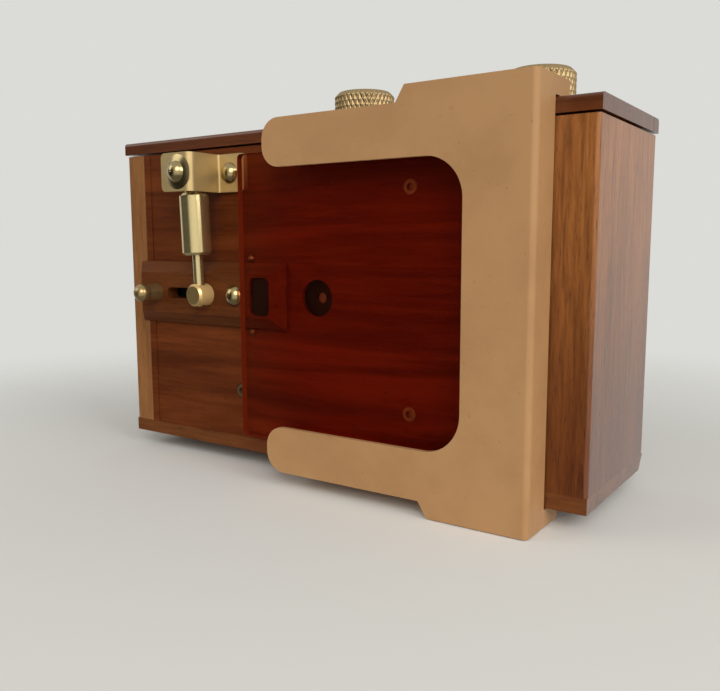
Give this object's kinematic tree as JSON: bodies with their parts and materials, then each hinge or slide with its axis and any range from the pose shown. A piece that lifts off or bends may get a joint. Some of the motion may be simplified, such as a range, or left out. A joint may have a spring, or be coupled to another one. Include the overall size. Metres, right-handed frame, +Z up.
{
  "type": "pinhole camera",
  "caption": "Wooden roll-film pinhole camera: snap shutter on a brass spring link, knurled winding and lock knobs, lift-off back, tripod bush and clip-on holder with a square red filter.",
  "frame": {"origin": "mouth of the tripod bush, in the middle of the box's underside", "axes": "+X to the right seen from the front, +Y to the back, +Z up"},
  "size_m": [0.1248, 0.0536, 0.0887],
  "materials": {
    "wood": "oiled, satin",
    "pale_wood": "oiled, satin",
    "black_wood": "painted matte black",
    "black_metal": "matte black",
    "black_plastic": "matte",
    "brass": "turned and polished",
    "steel": "turned",
    "printed_plastic": "printed, matte",
    "red_plastic": "clear, polished"
  },
  "bodies": {
    "camera": {"front_board": "wood", "left_side_board": "pale_wood", "right_side_board": "wood", "bottom_board": "wood", "top_board": "wood", "light_chamber": "black_wood", "pinhole_board": "black_wood", "pinhole_foil": "brass", "pinhole_ring": "black_metal", "pinhole_board_screws": "brass", "tripod_bush": "brass", "lock_insert": "brass", "spool_pins": "brass", "film_top_pin": "brass", "winding_bush": "brass", "shutter_plate": "wood", "plate_inlay": "black_plastic", "plate_screw": "brass", "plate_brads": "brass", "finger_post": "brass", "blade_keeper": "black_metal", "keeper_screws": "steel", "shutter_bracket": "brass", "bracket_screw": "brass", "pivot_screw": "brass", "pivot_spacer": "brass"},
    "blade": {"shutter_blade": "black_metal", "blade_bush": "brass"},
    "link_rod": {"swivel_stud": "brass", "plunger_rod": "brass"},
    "link_tube": {"piston_tube": "brass", "piston_spring": "steel"},
    "winder": {"winding_knob": "brass", "winding_shaft": "steel", "shaft_clip": "steel"},
    "take_up": {"take_up_spool": "black_plastic"},
    "lock": {"lock_knob": "brass", "lock_screw": "steel", "lock_washer": "brass"},
    "back": {"back_board": "wood", "locking_tongue": "brass", "tongue_screws": "steel", "red_window": "red_plastic", "cover_screw": "brass"},
    "cover": {"window_cover": "brass"},
    "holder": {"filter_holder": "printed_plastic"},
    "filter": {"red_filter": "red_plastic"}
  },
  "joints": [
    {"name": "shutter_travel", "type": "slide", "parent": "camera", "child": "blade", "axis": [-1, 0, 0], "range_m": [0, 0.0125], "deforming": ["piston_spring"]},
    {"name": "tube_swing", "type": "hinge", "parent": "camera", "child": "link_tube", "pos_m": [-0.0322, -0.0247, 0.0666], "axis": [0, 1, 0], "range_deg": [0, 24.2]},
    {"name": "stud_swivel", "type": "hinge", "parent": "blade", "child": "link_rod", "pos_m": [-0.031, -0.0247, 0.038], "axis": [0, 1, 0], "range_deg": [0, 24.2]},
    {"name": "winder_turn", "type": "hinge", "parent": "camera", "child": "winder", "pos_m": [0.0435, 0, 0.076], "axis": [0, 0, 1], "continuous": true},
    {"name": "take_up_turn", "type": "hinge", "parent": "camera", "child": "take_up", "pos_m": [0.0435, 0, 0.038], "axis": [0, 0, 1], "continuous": true},
    {"name": "lock_turn", "type": "hinge", "parent": "camera", "child": "lock", "pos_m": [0, 0, 0.076], "axis": [0, 0, 1], "range_deg": [0, 720]},
    {"name": "back_pull", "type": "slide", "parent": "camera", "child": "back", "axis": [0, 1, 0], "range_m": [0, 0.04]},
    {"name": "cover_swing", "type": "hinge", "parent": "back", "child": "cover", "pos_m": [0.014, 0.0198, 0.049], "axis": [0, 1, 0], "range_deg": [0, 85]},
    {"name": "holder_pull", "type": "slide", "parent": "camera", "child": "holder", "axis": [0, -1, 0], "range_m": [0, 0.03]},
    {"name": "filter_slide", "type": "slide", "parent": "holder", "child": "filter", "axis": [-1, 0, 0], "range_m": [0, 0.0105]}
  ],
  "couplings": [
    {"joint": "tube_swing", "follows": "shutter_travel", "rad_per_m": 33.457},
    {"joint": "stud_swivel", "follows": "shutter_travel", "rad_per_m": 33.457},
    {"joint": "take_up_turn", "follows": "winder_turn", "ratio": 1}
  ]
}
